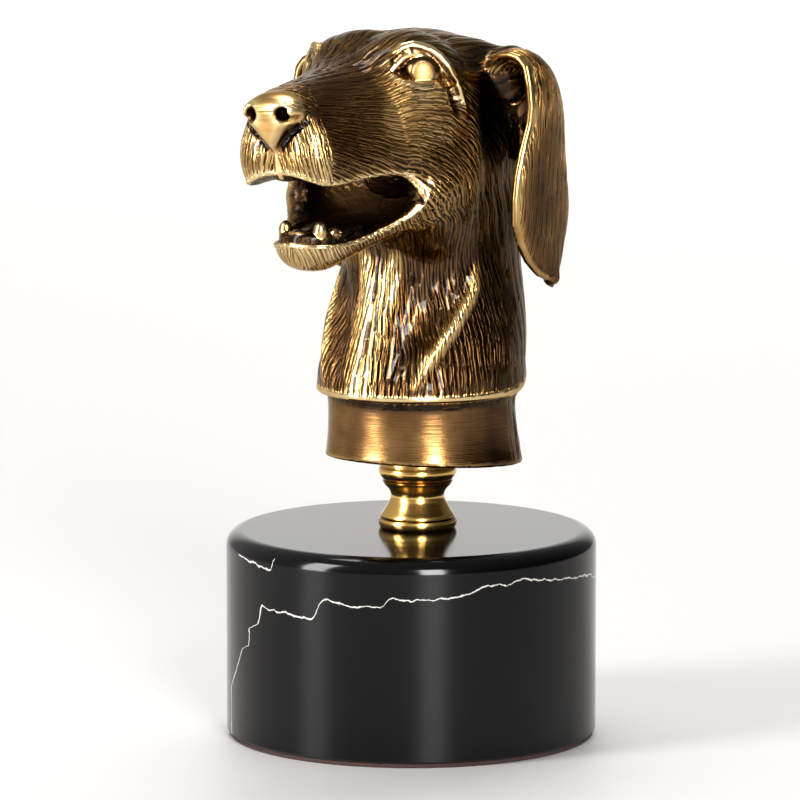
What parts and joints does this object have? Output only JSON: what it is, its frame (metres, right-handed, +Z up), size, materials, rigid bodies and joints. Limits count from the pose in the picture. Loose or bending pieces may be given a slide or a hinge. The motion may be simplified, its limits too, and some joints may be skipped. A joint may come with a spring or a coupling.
{
  "type": "zodiac dog head figure",
  "caption": "Cast bronze hound's head with an open mouth and hanging ears, on a turned brass stem and a round polished black marble base.",
  "frame": {"origin": "middle of the pad's underside, on the base's axis, at the level of the table it stands on", "axes": "+Z up; the dog looks along -Y; its left side is +X"},
  "size_m": [0.084, 0.0976, 0.1616],
  "materials": {
    "cast_bronze": "antique bronze: dark brown patina in the hair grooves, rubbed bright on the high places",
    "turned_brass": "turned and polished, with fine lathe lines",
    "black_marble": "polished black marble with thin pale veins",
    "dark_felt": "dark felt pad glued under the base"
  },
  "bodies": {
    "root": {"dog_head": "cast_bronze", "brass_stem": "turned_brass", "marble_base": "black_marble", "base_pad": "dark_felt"}
  },
  "joints": []
}
